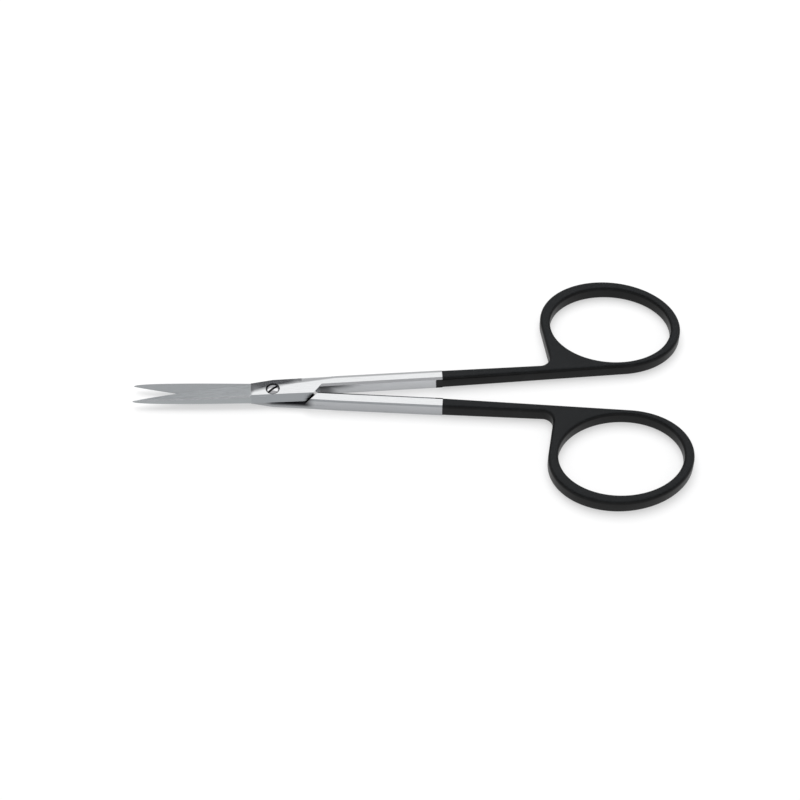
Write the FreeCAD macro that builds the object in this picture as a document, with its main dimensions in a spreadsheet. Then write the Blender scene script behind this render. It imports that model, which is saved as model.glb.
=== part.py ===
"""Iris scissors, 115 mm long: two crossed steel halves on one screw, with black coated handles.

The two halves are one form used twice. The upper half carries the screw's head and the
ring on the +Y side; the lower half is the same form turned over about the X axis.
A half is drawn closed, in its own frame: X runs from the tips (-X) to the finger rings (+X)
with the screw's axis at X = 0 and Y = 0, its ring lies on the +Y side, its blade and lap fill
the layer above mid height, and its shank and ring have the full thickness.
Each finished half is then swung open by half of the rest opening. Lengths are in mm.
"""
import FreeCAD, Part
import math
import os
import Sketcher
from FreeCAD import Placement, Rotation, Vector

X_AXIS = Vector(1, 0, 0)
Z_AXIS = Vector(0, 0, 1)

DRIVING_SIZES = (
    ("half_opening", 3.94, "degrees that each half is swung from closed, as it lies at rest"),
    ("thickness", 3.2, "thickness over the joint, the shanks and the rings"),
    ("lap_gap", 0.02, "running gap between the two inner faces"),
    ("tip_reach", 28.9, "screw axis to the tips"),
    ("tip_spine", 0.08, "spine edge from the midline at the tip"),
    ("tip_edge", 0.06, "cutting edge past the midline at the tip"),
    ("tip_height", 0.2, "blade height at the tip"),
    ("point_reach", 27.0, "screw axis to the station just behind the tip"),
    ("point_spine", 0.6, "spine edge there"),
    ("point_edge", 0.22, "cutting edge there"),
    ("point_height", 0.45, "blade height there"),
    ("middle_reach", 22.0, "screw axis to the station at mid blade"),
    ("middle_spine", 1.13, "spine edge there"),
    ("middle_edge", 0.74, "cutting edge there"),
    ("middle_height", 0.75, "blade height there"),
    ("heel_reach", 14.0, "screw axis to the station at the heel of the cutting edge"),
    ("heel_spine", 1.75, "spine edge there"),
    ("heel_edge", 1.55, "cutting edge there"),
    ("heel_height", 1.08, "blade height there"),
    ("neck_reach", 1.5, "screw axis to the station where the blade ends inside the joint plate"),
    ("neck_spine", 2.36, "spine edge there"),
    ("neck_edge", 2.2, "ring side edge there"),
    ("neck_height", 1.42, "blade height there"),
    ("bevel_portion", 0.32, "height of the steep cutting bevel as a part of the blade height"),
    ("bevel_slope", 52.0, "slope of the cutting bevel, degrees"),
    ("spine_slope", 60.0, "slope of the ground spine side of blade and lap, degrees"),
    ("lap_spine", 2.42, "spine side of the lap from the midline, at its inner face"),
    ("lap_ring", 2.35, "ring side of the lap from the midline"),
    ("plate_front", 4.4, "screw axis to the near front corner of the polished plate"),
    ("plate_notch", 2.1, "screw axis to the far front corner of the polished plate"),
    ("plate_far", 1.55, "far edge of the polished plate from the midline at the screw"),
    ("plate_chamfer", 0.35, "depth of the chamfer round the polished plate and along the shank"),
    ("plate_skirt", 0.6, "how far the plate's front chamfer spreads forward"),
    ("shoulder_reach", 9.6, "screw axis to the lap's end, on the midline at the outer face"),
    ("shoulder_angle", 52.0, "angle of the shoulder to the midline in plan, degrees"),
    ("shoulder_rake", 33.0, "lean of the shoulder from upright, degrees"),
    ("shoulder_gap", 0.12, "gap between the shoulders when the tips meet"),
    ("shank_start", 6.0, "screw axis to where the full shank begins inside the joint"),
    ("shank_waist", 13.0, "screw axis to the shank's widest place behind the shoulder"),
    ("shank_inner", 0.12, "shank's inner side from the midline"),
    ("shank_outer", 2.45, "shank's outer side from the midline behind the shoulder"),
    ("shank_inner_chamfer", 0.4, "width of the chamfer on the shank's inner edges"),
    ("shank_outer_chamfer", 0.33, "width of the chamfer on the shank's outer edges"),
    ("coat_edge", 35.0, "screw axis to the edge of the black coat"),
    ("coat_edge_outer", 2.34, "shank's outer side from the midline at the coat's edge"),
    ("coat_wall", 0.1, "thickness of the coat, let in flush with the bare steel"),
    ("coat_corner", 0.35, "corner radius of the coated shank at the coat's edge"),
    ("handle_neck", 52.0, "screw axis to where the shank's corners reach the ring's radius"),
    ("handle_neck_outer", 2.1, "shank's outer side from the midline there"),
    ("ring_centre", 71.34, "screw axis to the ring's centre along the midline"),
    ("ring_length", 13.71, "long half axis of the ring, to the middle of its band"),
    ("ring_width", 10.8, "short half axis of the ring, to the middle of its band"),
    ("ring_tilt", -13.4, "angle of the ring's long axis to the midline, degrees"),
    ("ring_band", 2.3, "width of the ring's band in plan"),
    ("ring_corner", 0.9, "corner radius of the ring's band"),
    ("web_lean", 4.0, "lean of the web's front edge, degrees"),
    ("crotch_radius", 1.8, "radius in the crotch between web and shank"),
    ("screw_radius", 0.8, "radius of the screw's shaft"),
    ("screw_head_radius", 1.38, "radius of the screw's head"),
    ("screw_head_rim", 0.14, "height of the head's upright rim"),
    ("screw_dome", 0.12, "rise of the head's middle above its rim"),
    ("screw_head_sink", 0.05, "head's middle below the outer face of the upper half"),
    ("screw_cone_height", 0.55, "height of the cone under the head"),
    ("screw_end_sink", 0.0, "screw's far end above the outer face of the lower half"),
    ("screw_fit", 0.03, "running clearance of the upper half on the screw"),
    ("thread_fit", 0.01, "clearance of the screw in the lower half's thread"),
    ("seat_rim", 0.1, "how much wider the head's recess is than the head"),
    ("slot_width", 0.5, "width of the driver slot"),
    ("slot_depth", 0.42, "depth of the driver slot below the head's rim"),
    ("slot_angle", 42.0, "direction of the driver slot from the X axis, degrees"),
)

document = FreeCAD.newDocument("iris_scissors")
sheet = document.addObject("Spreadsheet::Sheet", "Sizes")
for row, (alias, number, meaning) in enumerate(DRIVING_SIZES, start=1):
    sheet.set("A%d" % row, str(number))
    sheet.setAlias("A%d" % row, alias)
    sheet.set("B%d" % row, meaning)
document.recompute()


def size(alias):
    """Value of one cell of the sheet, as a plain number."""
    return float(getattr(sheet, alias))


def worked_out(expression):
    """Number that an expression on the sheet's cells gives now."""
    return float(sheet.evalExpression(expression))


# Heights and slopes that several pieces share, as expressions on the sheet

INNER_FACE = "(Sizes.thickness / 2 + Sizes.lap_gap / 2)"
PLATE_EDGE = "(Sizes.thickness - Sizes.plate_chamfer)"
OUTER_FACE = "Sizes.thickness"


def shoulder_x(across, height):
    """X of the lap's end plane at one distance across and one height, as an expression."""
    return ("Sizes.shoulder_reach + (%s) / tan(Sizes.shoulder_angle)"
            " - (Sizes.thickness - (%s)) * tan(Sizes.shoulder_rake)" % (across, height))


def recess_x(across, height):
    """X of the shank's own shoulder, which faces the other half's lap end with a gap."""
    return ("Sizes.shoulder_reach - (%s) / tan(Sizes.shoulder_angle)"
            " - (%s) * tan(Sizes.shoulder_rake) + Sizes.shoulder_gap" % (across, height))


def spine_side(height):
    """Y of the lap's ground spine side at one height, as an expression."""
    return "-(Sizes.lap_spine - ((%s) - %s) / tan(Sizes.spine_slope))" % (height, INNER_FACE)


def origin_plane(body, role):
    """One of a body's own origin planes."""
    return [feature for feature in body.Origin.OriginFeatures if feature.Role == role][0]


def outline_sketch(body, name, role, offset, points):
    """Closed outline of straight lines on an origin plane, with every corner tied to the sheet.

    The offset and each corner's two coordinates are expressions.
    """
    sketch = body.newObject("Sketcher::SketchObject", name)
    sketch.AttachmentSupport = [(origin_plane(body, role), "")]
    sketch.MapMode = "FlatFace"
    sketch.setExpression("AttachmentOffset.Base.z", offset)
    corners = [Vector(worked_out(across), worked_out(along), 0) for across, along in points]
    count = len(corners)
    for index, corner in enumerate(corners):
        sketch.addGeometry(Part.LineSegment(corner, corners[(index + 1) % count]), False)
    for index in range(count):
        sketch.addConstraint(Sketcher.Constraint("Coincident", index, 2, (index + 1) % count, 1))
    for index, corner in enumerate(corners):
        for kind, number, expression in (("DistanceX", corner.x, points[index][0]),
                                         ("DistanceY", corner.y, points[index][1])):
            place = sketch.addConstraint(Sketcher.Constraint(kind, -1, 1, index, 1, number))
            sketch.setExpression("Constraints[%d]" % place, expression)
    return sketch


def loft(body, kind, name, sketches, ruled):
    """Additive or subtractive loft through sketches of one body."""
    feature = body.newObject("PartDesign::" + kind, name)
    feature.Profile = sketches[0]
    feature.Sections = sketches[1:]
    feature.Ruled = ruled
    document.recompute()
    return feature


def turned(body, kind, name, points):
    """Revolution or groove about the Z axis of a profile of (radius, height) expressions."""
    sketch = outline_sketch(body, name + "_profile", "XZ_Plane", "0", points)
    feature = body.newObject("PartDesign::" + kind, name)
    feature.Profile = sketch
    feature.ReferenceAxis = (origin_plane(body, "Z_Axis"), [""])
    feature.Angle = 360
    document.recompute()
    return feature


# Blade: sections from the tip to the neck, each with a flat inner face, a spine side,
# a broad ground outer face and a steep bevel behind the cutting edge


def blade_section(body, station):
    """Section of the blade across its length at one named station."""
    values = {"s": station, "inner": INNER_FACE}
    spine = "-Sizes.%(s)s_spine" % values
    ridge = "-Sizes.%(s)s_spine + Sizes.%(s)s_height / tan(Sizes.spine_slope)" % values
    ridge_height = "%(inner)s + Sizes.%(s)s_height" % values
    edge = "Sizes.%(s)s_edge" % values
    bevel_height = "Sizes.%(s)s_height * Sizes.bevel_portion" % values
    bevel = "%s - %s / tan(Sizes.bevel_slope)" % (edge, bevel_height)
    points = ((spine, INNER_FACE), (ridge, ridge_height),
              (bevel, "%s + %s" % (INNER_FACE, bevel_height)), (edge, INNER_FACE))
    return outline_sketch(body, body.Name + "_" + station, "YZ_Plane",
                          "-Sizes.%s_reach" % station, points)


def add_blade(body):
    """Blade from the tip to the neck, and its straight run under the joint plate."""
    stations = ("tip", "point", "middle", "heel", "neck")
    sections = [blade_section(body, station) for station in stations]
    loft(body, "AdditiveLoft", body.Name + "_blade", sections, False)


def plate_section(body, name, height, near, front, far_front, far, inner, outer):
    """Plan outline of the joint plate at one height.

    The plate runs from its slanted front past the screw to the lap's end, and on into the
    shank on the ring side. All arguments are expressions.
    """
    points = (("-(%s)" % front, near),
              (shoulder_x(near, height), near),
              (shoulder_x(inner, height), inner),
              ("Sizes.shank_waist", inner),
              ("Sizes.shank_waist", outer),
              ("Sizes.shank_start", "(%s) + (%s - (%s)) / 2" % (far, outer, far)),
              ("0", far),
              ("-(%s)" % far_front, "(%s) - Sizes.plate_skirt" % far))
    return outline_sketch(body, body.Name + "_" + name, "XY_Plane", height, points)


def add_joint_plate(body):
    """Half thickness lap round the screw, with a ground spine side and a raised plate."""
    skirt = "Sizes.plate_skirt"
    chamfered_inner = "Sizes.shank_inner + Sizes.shank_inner_chamfer"
    chamfered_outer = "Sizes.shank_outer - Sizes.shank_outer_chamfer"
    sections = (
        plate_section(body, "lap_inner", INNER_FACE, spine_side(INNER_FACE),
                      "Sizes.plate_front + %s" % skirt, "Sizes.plate_notch + 2 * %s" % skirt,
                      "Sizes.lap_ring", "Sizes.shank_inner", "Sizes.shank_outer"),
        plate_section(body, "plate_edge", PLATE_EDGE, spine_side(PLATE_EDGE),
                      "Sizes.plate_front + %s / 2" % skirt, "Sizes.plate_notch + %s" % skirt,
                      "Sizes.lap_ring", "Sizes.shank_inner", "Sizes.shank_outer"),
        plate_section(body, "plate_face", OUTER_FACE, spine_side(OUTER_FACE),
                      "Sizes.plate_front", "Sizes.plate_notch",
                      "Sizes.plate_far", chamfered_inner, chamfered_outer),
    )
    loft(body, "AdditiveLoft", body.Name + "_joint_plate", list(sections), True)


def shank_section(body, name, reach, outer):
    """Full thickness section of the bare shank with chamfered edges."""
    inner = "Sizes.shank_inner"
    inner_flat = "%s + Sizes.shank_inner_chamfer" % inner
    outer_flat = "%s - Sizes.shank_outer_chamfer" % outer
    low = "Sizes.plate_chamfer"
    points = ((inner, low), (inner, PLATE_EDGE), (inner_flat, OUTER_FACE),
              (outer_flat, OUTER_FACE), (outer, PLATE_EDGE), (outer, low),
              (outer_flat, "0"), (inner_flat, "0"))
    return outline_sketch(body, body.Name + "_" + name, "YZ_Plane", reach, points)


def add_bare_shank(body):
    """Bare steel shank from inside the joint to the edge of the coat."""
    sections = [shank_section(body, "shank_start", "Sizes.shank_start", "Sizes.lap_ring"),
                shank_section(body, "shank_waist", "Sizes.shank_waist", "Sizes.shank_outer"),
                shank_section(body, "shank_end", "Sizes.coat_edge", "Sizes.coat_edge_outer")]
    loft(body, "AdditiveLoft", body.Name + "_shank", sections, True)


def add_lap_recess(body):
    """Room below mid height for the other half's blade and lap, up to the raked shoulder."""
    clear = "(Sizes.tip_reach + Sizes.thickness)"
    side = "(2 * Sizes.thickness)"
    sketches = []
    for name, height in (("recess_low", "-Sizes.thickness"), ("recess_high", INNER_FACE)):
        points = (("-" + clear, "-" + side), (recess_x("-" + side, height), "-" + side),
                  (recess_x(side, height), side), ("-" + clear, side))
        sketches.append(outline_sketch(body, body.Name + "_" + name, "XY_Plane", height, points))
    loft(body, "SubtractiveLoft", body.Name + "_recess", sketches, True)


# Screw and the two bores that it passes

SCREW_RIM_TOP = "(Sizes.thickness - Sizes.screw_head_sink - Sizes.screw_dome)"
SCREW_RIM_FOOT = "(%s - Sizes.screw_head_rim)" % SCREW_RIM_TOP
SCREW_CONE_FOOT = "(%s - Sizes.screw_cone_height)" % SCREW_RIM_FOOT


def add_screw_seat(body):
    """Recess, countersink and running bore of the upper half, from its outer face."""
    clear = "Sizes.thickness + Sizes.thickness"
    recess = "Sizes.screw_head_radius + Sizes.seat_rim"
    bore = "Sizes.screw_radius + Sizes.screw_fit"
    foot = "%s - Sizes.screw_fit" % SCREW_CONE_FOOT
    cone_top = ("%s + (%s - (%s)) * Sizes.screw_cone_height"
                " / (Sizes.screw_head_radius - Sizes.screw_radius)" % (foot, recess, bore))
    points = (("0", "-Sizes.thickness"), (bore, "-Sizes.thickness"), (bore, foot),
              (recess, cone_top), (recess, clear), ("0", clear))
    turned(body, "Groove", body.Name + "_screw_seat", points)


def add_thread_bore(body):
    """Tapped bore of the lower half, drawn at the screw's own radius."""
    bore = "Sizes.screw_radius + Sizes.thread_fit"
    points = (("0", "-Sizes.thickness"), (bore, "-Sizes.thickness"),
              (bore, "Sizes.thickness + Sizes.thickness"),
              ("0", "Sizes.thickness + Sizes.thickness"))
    turned(body, "Groove", body.Name + "_thread_bore", points)


def make_screw():
    """Countersunk pivot screw with a slightly domed, slotted head."""
    body = document.addObject("PartDesign::Body", "screw_body")
    crown = "Sizes.screw_head_radius * 0.6"
    crown_height = "%s + Sizes.screw_dome * 0.75" % SCREW_RIM_TOP
    points = (("0", "Sizes.screw_end_sink"), ("Sizes.screw_radius", "Sizes.screw_end_sink"),
              ("Sizes.screw_radius", SCREW_CONE_FOOT),
              ("Sizes.screw_head_radius", SCREW_RIM_FOOT),
              ("Sizes.screw_head_radius", SCREW_RIM_TOP),
              (crown, crown_height),
              ("0", "%s + Sizes.screw_dome" % SCREW_RIM_TOP))
    turned(body, "Revolution", "screw_turned", points)

    slot = document.addObject("Part::Box", "driver_slot")
    slot.setExpression("Length", "4 * Sizes.screw_head_radius")
    slot.setExpression("Width", "Sizes.slot_width")
    slot.setExpression("Height", "Sizes.thickness")
    along = Vector(-2 * size("screw_head_radius"), -size("slot_width") / 2, 0)
    turn = Rotation(Z_AXIS, size("slot_angle"))
    floor = Vector(0, 0, worked_out(SCREW_RIM_TOP) - size("slot_depth"))
    slot.Placement = Placement(floor + turn.multVec(along), turn)

    screw = document.addObject("Part::Cut", "pivot_screw")
    screw.Base = body
    screw.Tool = slot
    screw.Label = "pivot_screw"
    document.recompute()
    return screw


# Handle: the coated end of the shank, the web and the finger ring


class RingEllipse:
    """Ellipse round the ring's centre, larger or smaller than the middle of its band."""

    def __init__(self, growth):
        self.long_half = size("ring_length") + growth
        self.short_half = size("ring_width") + growth
        self.tilt = math.radians(size("ring_tilt"))
        rim_long = size("ring_length") + size("ring_band") / 2
        rim_short = size("ring_width") + size("ring_band") / 2
        drop = math.hypot(rim_long * math.sin(self.tilt), rim_short * math.cos(self.tilt))
        self.centre = Vector(size("ring_centre"), size("shank_inner") + drop, 0)
        along = Vector(math.cos(self.tilt), math.sin(self.tilt), 0)
        across = Vector(-math.sin(self.tilt), math.cos(self.tilt), 0)
        self.curve = Part.Ellipse(self.centre + along * self.long_half,
                                  self.centre + across * self.short_half, self.centre)

    def parameter(self, normal_angle):
        """Parameter of the point whose outward normal has this angle from the X axis."""
        turn = math.radians(normal_angle) - self.tilt
        return math.atan2(self.short_half * math.sin(turn), self.long_half * math.cos(turn))


def rounded_rectangle(reach, inner, outer, low, high, radius):
    """Closed section across the shank with four equal corner radii."""
    lean = radius * (1 - math.sqrt(0.5))
    corners = ((inner, low, 1, 1), (outer, low, -1, 1), (outer, high, -1, -1), (inner, high, 1, -1))
    points = []
    for index, (across, height, toward_y, toward_z) in enumerate(corners):
        beside = Vector(reach, across, height + toward_z * radius)
        below = Vector(reach, across + toward_y * radius, height)
        middle = Vector(reach, across + toward_y * lean, height + toward_z * lean)
        first, last = (beside, below) if index % 2 == 0 else (below, beside)
        points.append((first, middle, last))
    edges = []
    for index, (first, middle, last) in enumerate(points):
        edges.append(Part.Arc(first, middle, last).toShape())
        edges.append(Part.LineSegment(last, points[(index + 1) % 4][0]).toShape())
    return Part.Wire(edges)


def ring_outline(inset):
    """Plan outline of web and ring from the handle's neck, every side set in by the inset."""
    rim = RingEllipse(size("ring_band") / 2 - inset)
    neck = size("handle_neck")
    inner = size("shank_inner") + inset
    outer = size("handle_neck_outer") - inset
    foot = rim.parameter(-90)
    brow = rim.parameter(180 + size("web_lean"))
    if brow < foot:
        brow += 2 * math.pi
    foot_point = rim.curve.value(foot)
    brow_point = rim.curve.value(brow)
    lean = math.radians(size("web_lean"))
    corner_x = brow_point.x + (brow_point.y - outer) * math.tan(lean)
    corner = Vector(corner_x, outer, 0)
    radius = size("crotch_radius") + inset
    half_turn = (math.pi / 2 + lean) / 2
    reach = radius * math.tan(half_turn)
    up = Vector(-math.sin(lean), math.cos(lean), 0)
    web_end = corner + up * reach
    shank_end = corner - X_AXIS * reach
    bisector = (up - X_AXIS).normalize()
    arc_centre = corner + bisector * (radius / math.cos(half_turn))
    arc_middle = arc_centre - bisector * radius
    neck_inner = Vector(neck, inner, 0)
    neck_outer = Vector(neck, outer, 0)
    edges = (Part.LineSegment(neck_inner, foot_point),
             Part.ArcOfEllipse(rim.curve, foot, brow),
             Part.LineSegment(brow_point, web_end),
             Part.Arc(web_end, arc_middle, shank_end),
             Part.LineSegment(shank_end, neck_outer),
             Part.LineSegment(neck_outer, neck_inner))
    return Part.Wire([edge.toShape() for edge in edges])


def handle_solid(inset):
    """Coated part of a half, every side set in by the inset: 0 is the coat, its wall the core."""
    low = inset
    high = size("thickness") - inset
    inner = size("shank_inner") + inset
    small = size("coat_corner") - inset
    large = size("ring_corner") - inset
    shank = Part.makeLoft([
        rounded_rectangle(size("coat_edge"), inner, size("coat_edge_outer") - inset,
                          low, high, small),
        rounded_rectangle(size("handle_neck"), inner, size("handle_neck_outer") - inset,
                          low, high, large)], True, True)
    hole = RingEllipse(-size("ring_band") / 2 + inset)
    face = Part.Face(ring_outline(inset)).cut(Part.Face(Part.Wire([hole.curve.toShape()])))
    face.translate(Vector(0, 0, low))
    blank = face.extrude(Vector(0, 0, high - low)).Solids[0]
    past_neck = size("handle_neck") + small / 10
    rounded = [edge for edge in blank.Edges
               if edge.BoundBox.ZLength < small / 10 and edge.BoundBox.XMax > past_neck]
    head = blank.makeFillet(large, rounded)
    return shank.fuse(head).removeSplitter()


def make_handle(prefix, name, inset):
    """Handle form as an object of the document."""
    feature = document.addObject("Part::Feature", prefix + "_" + name)
    feature.Shape = handle_solid(inset)
    return feature


def make_half(prefix, bore, placement):
    """One half and the coat of its handle, placed as they lie at rest."""
    body = document.addObject("PartDesign::Body", prefix + "_body")
    add_blade(body)
    add_joint_plate(body)
    add_bare_shank(body)
    add_lap_recess(body)
    bore(body)
    core = make_handle(prefix, "handle_core", size("coat_wall"))
    blank = make_handle(prefix, "coat_blank", 0)

    half = document.addObject("Part::Fuse", prefix + "_half")
    half.Base = body
    half.Tool = core
    half.Refine = True
    half.Label = prefix + "_half"
    half.Placement = placement

    coat = document.addObject("Part::Cut", prefix + "_handle_coat")
    coat.Base = blank
    coat.Tool = core
    coat.Label = prefix + "_handle_coat"
    coat.Placement = placement
    document.recompute()
    return half, coat


swing = size("half_opening")
turned_over = Placement(Vector(0, 0, size("thickness")), Rotation(X_AXIS, 180))
upper = make_half("upper", add_screw_seat, Placement(Vector(), Rotation(Z_AXIS, swing)))
lower = make_half("lower", add_thread_bore,
                  Placement(Vector(), Rotation(Z_AXIS, -swing)).multiply(turned_over))
nodes = upper + lower + (make_screw(),)

document.recompute()
for item in document.Objects:
    if "Invalid" in item.State or "Error" in item.State:
        raise RuntimeError("%s did not build: %s" % (item.Name, item.State))
for node in nodes:
    shape = node.Shape
    if shape.isNull() or not shape.isValid() or len(shape.Solids) != 1:
        raise RuntimeError("%s is not one valid solid" % node.Label)

os.makedirs("parts", exist_ok=True)
for node in nodes:
    node.Shape.exportStep(os.path.join("parts", node.Label + ".step"))
    box = node.Shape.BoundBox
    print("%s: %.2f mm3, x %.2f to %.2f, y %.2f to %.2f, z %.2f to %.2f" % (
        node.Label, node.Shape.Volume, box.XMin, box.XMax, box.YMin, box.YMax, box.ZMin, box.ZMax))
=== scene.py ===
"""Looks of a pair of iris scissors: ground and polished steel halves, black coated ring handles and a pivot screw.

The construction is loaded as it is, and each of its pieces gets a finer one of the same size in its place. They lie
on a pale table under soft light, seen from where the photograph was taken.
"""

import logging
import math
from dataclasses import dataclass, replace
from enum import Enum
from typing import Any, Mapping, Optional, Sequence, Union

import bmesh
import bpy
from mathutils import Matrix, Vector

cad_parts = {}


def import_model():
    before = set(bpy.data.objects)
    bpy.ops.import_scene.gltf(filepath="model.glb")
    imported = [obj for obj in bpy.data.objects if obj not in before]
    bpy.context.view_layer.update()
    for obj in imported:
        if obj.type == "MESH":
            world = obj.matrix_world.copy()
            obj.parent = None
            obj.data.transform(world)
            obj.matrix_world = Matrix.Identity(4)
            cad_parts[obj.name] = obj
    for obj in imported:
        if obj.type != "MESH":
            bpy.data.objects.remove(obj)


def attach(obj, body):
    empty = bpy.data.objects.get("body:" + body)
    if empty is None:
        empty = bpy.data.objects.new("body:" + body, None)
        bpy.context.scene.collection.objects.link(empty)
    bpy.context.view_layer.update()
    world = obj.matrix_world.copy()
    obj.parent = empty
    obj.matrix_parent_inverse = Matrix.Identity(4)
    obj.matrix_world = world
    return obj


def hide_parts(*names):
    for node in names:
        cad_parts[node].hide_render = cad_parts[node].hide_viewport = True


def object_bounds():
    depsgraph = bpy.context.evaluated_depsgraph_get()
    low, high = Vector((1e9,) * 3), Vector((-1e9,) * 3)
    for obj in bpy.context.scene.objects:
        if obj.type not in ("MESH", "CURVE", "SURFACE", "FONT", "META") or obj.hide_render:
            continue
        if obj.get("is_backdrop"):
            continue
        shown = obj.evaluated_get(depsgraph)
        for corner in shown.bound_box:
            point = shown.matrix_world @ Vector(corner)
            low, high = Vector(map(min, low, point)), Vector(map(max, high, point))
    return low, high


MM = 0.001
SHARP_ANGLE = math.radians(28)
Span = tuple[float, float]
Tone = tuple[float, float, float]
Given = Union["Signal", bpy.types.NodeSocket, float, Sequence[float]]

log = logging.getLogger("iris_scissors")


def opaque(tone: Tone) -> tuple[float, float, float, float]:
    """Returns a tone as the four numbers that a colour socket takes."""
    return (*tone, 1.0)


def placed(name: str, data: bpy.types.ID) -> bpy.types.Object:
    """Makes an object of a mesh, curve, lamp or camera and puts it in the scene."""
    item = bpy.data.objects.new(name, data)
    bpy.context.scene.collection.objects.link(item)
    return item


class Signal:
    """A number that varies over a surface and follows Python's arithmetic.

    Each operator adds one Math node to the shader that the number belongs to.
    """

    def __init__(self, shader: "Shader", socket: bpy.types.NodeSocket) -> None:
        """Wraps a socket.

        Args:
            shader: the shader that the socket belongs to.
            socket: the output socket that carries the number.
        """
        self.shader = shader
        self.socket = socket

    def _math(self, operation: str, *operands: Union["Signal", float]) -> "Signal":
        """Adds one Math node.

        Args:
            operation: the node's operation.
            operands: what it works on, in order.

        Returns:
            The node's result.
        """
        node = self.shader.add("ShaderNodeMath", {"operation": operation}, dict(enumerate(operands)))
        return Signal(self.shader, node.outputs[0])

    def __add__(self, other: Union["Signal", float]) -> "Signal":
        """Returns self + other."""
        return self._math("ADD", self, other)

    __radd__ = __add__

    def __sub__(self, other: Union["Signal", float]) -> "Signal":
        """Returns self - other."""
        return self._math("SUBTRACT", self, other)

    def __rsub__(self, other: float) -> "Signal":
        """Returns other - self."""
        return self._math("SUBTRACT", other, self)

    def __mul__(self, other: Union["Signal", float]) -> "Signal":
        """Returns self * other."""
        return self._math("MULTIPLY", self, other)

    __rmul__ = __mul__

    def __pow__(self, other: float) -> "Signal":
        """Returns self ** other."""
        return self._math("POWER", self, other)

    def __abs__(self) -> "Signal":
        """Returns the size of self without its sign."""
        return self._math("ABSOLUTE", self)

    def sine(self) -> "Signal":
        """Returns the sine of self."""
        return self._math("SINE", self)

    def larger(self, other: Union["Signal", float]) -> "Signal":
        """Returns the larger of self and other."""
        return self._math("MAXIMUM", self, other)

    def ramp(self, start: float, end: float) -> "Signal":
        """Turns self into a soft mask.

        Args:
            start: where the mask is 0.
            end: where the mask is 1; it may be below start.

        Returns:
            A number that turns smoothly from 0 to 1.
        """
        limits = {"Value": self, "From Min": start, "From Max": end}
        if end < start:
            limits.update({"From Min": end, "From Max": start, "To Min": 1.0, "To Max": 0.0})
        node = self.shader.add("ShaderNodeMapRange", {"interpolation_type": "SMOOTHSTEP"}, limits)
        return Signal(self.shader, node.outputs["Result"])


class Shader:
    """The nodes of one material or of the world."""

    def __init__(self, owner: Union[bpy.types.Material, bpy.types.World]) -> None:
        """Empties the owner's node tree and takes it over.

        Args:
            owner: the material or world that the nodes belong to.
        """
        owner.use_nodes = True
        self.owner = owner
        self.tree = owner.node_tree
        self.tree.nodes.clear()

    def add(
        self,
        kind: str,
        settings: Optional[Mapping[str, Any]] = None,
        inputs: Optional[Mapping[Union[str, int], Given]] = None,
    ) -> bpy.types.Node:
        """Adds any node.

        Args:
            kind: the node's type.
            settings: what is set on the node itself, before its sockets.
            inputs: the values or links of its sockets, by their name or number.

        Returns:
            The node.
        """
        node = self.tree.nodes.new(kind)
        for name, choice in (settings or {}).items():
            setattr(node, name, choice)
        for key, given in (inputs or {}).items():
            socket = node.inputs[key]
            if isinstance(given, Signal):
                self.tree.links.new(given.socket, socket)
            elif isinstance(given, bpy.types.NodeSocket):
                self.tree.links.new(given, socket)
            else:
                socket.default_value = given
        return node

    def signal(self, socket: bpy.types.NodeSocket) -> Signal:
        """Returns a socket's number as a Signal."""
        return Signal(self, socket)

    def parts(self, vector: bpy.types.NodeSocket) -> tuple[Signal, Signal, Signal]:
        """Splits a vector.

        Args:
            vector: the socket that carries it.

        Returns:
            Its x, y and z.
        """
        node = self.add("ShaderNodeSeparateXYZ", inputs={"Vector": vector})
        return tuple(Signal(self, output) for output in node.outputs)

    def blend(self, share: Signal, first: Given, second: Given) -> bpy.types.NodeSocket:
        """Mixes two colours.

        Args:
            share: 0 gives the first, 1 the second.
            first: a tone or a colour socket.
            second: a tone or a colour socket.

        Returns:
            The socket with the mixed colour.
        """
        colours = [opaque(given) if isinstance(given, tuple) else given for given in (first, second)]
        return self.add("ShaderNodeMix", {"data_type": "RGBA"}, dict(zip((0, 6, 7), (share, *colours)))).outputs[2]

    def noise(self, vector: Given, scale: float, detail: float = 2.0, roughness: float = 0.5) -> Signal:
        """Adds an even noise.

        Args:
            vector: where it is read.
            scale: how many lumps there are in a unit of length.
            detail: how many finer layers it has.
            roughness: how strong the finer layers are.

        Returns:
            A number about 0.5 that varies from 0 to 1.
        """
        inputs = {"Vector": vector, "Scale": scale, "Detail": detail, "Roughness": roughness}
        return self.signal(self.add("ShaderNodeTexNoise", inputs=inputs).outputs[0])

    def bump(self, height: Signal, depth: float) -> bpy.types.NodeSocket:
        """Makes relief.

        Args:
            height: how high the surface stands, from 0 to 1.
            depth: how high 1 is, in metres.

        Returns:
            The socket with the new normal.
        """
        inputs = {"Height": height, "Distance": depth, "Strength": 1.0}
        return self.add("ShaderNodeBump", inputs=inputs).outputs["Normal"]

    def millimetres(self) -> bpy.types.NodeSocket:
        """Returns the place of a surface point in the frame's axes, in millimetres."""
        source = self.add("ShaderNodeTexCoord").outputs["Object"]
        return self.add("ShaderNodeVectorMath", {"operation": "SCALE"}, {0: source, "Scale": 1 / MM}).outputs[0]

    def finish_with(self, node: bpy.types.Node) -> Union[bpy.types.Material, bpy.types.World]:
        """Sends a shader node's result to the output, and returns the finished material or world."""
        world = isinstance(self.owner, bpy.types.World)
        kind = "ShaderNodeOutputWorld" if world else "ShaderNodeOutputMaterial"
        self.add(kind, inputs={"Surface": node.outputs[0]})
        return self.owner

    def surfaced(self, inputs: Mapping[str, Given]) -> bpy.types.Material:
        """Finishes the material with the usual surface shader, given its sockets."""
        return self.finish_with(self.add("ShaderNodeBsdfPrincipled", inputs=inputs))


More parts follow.
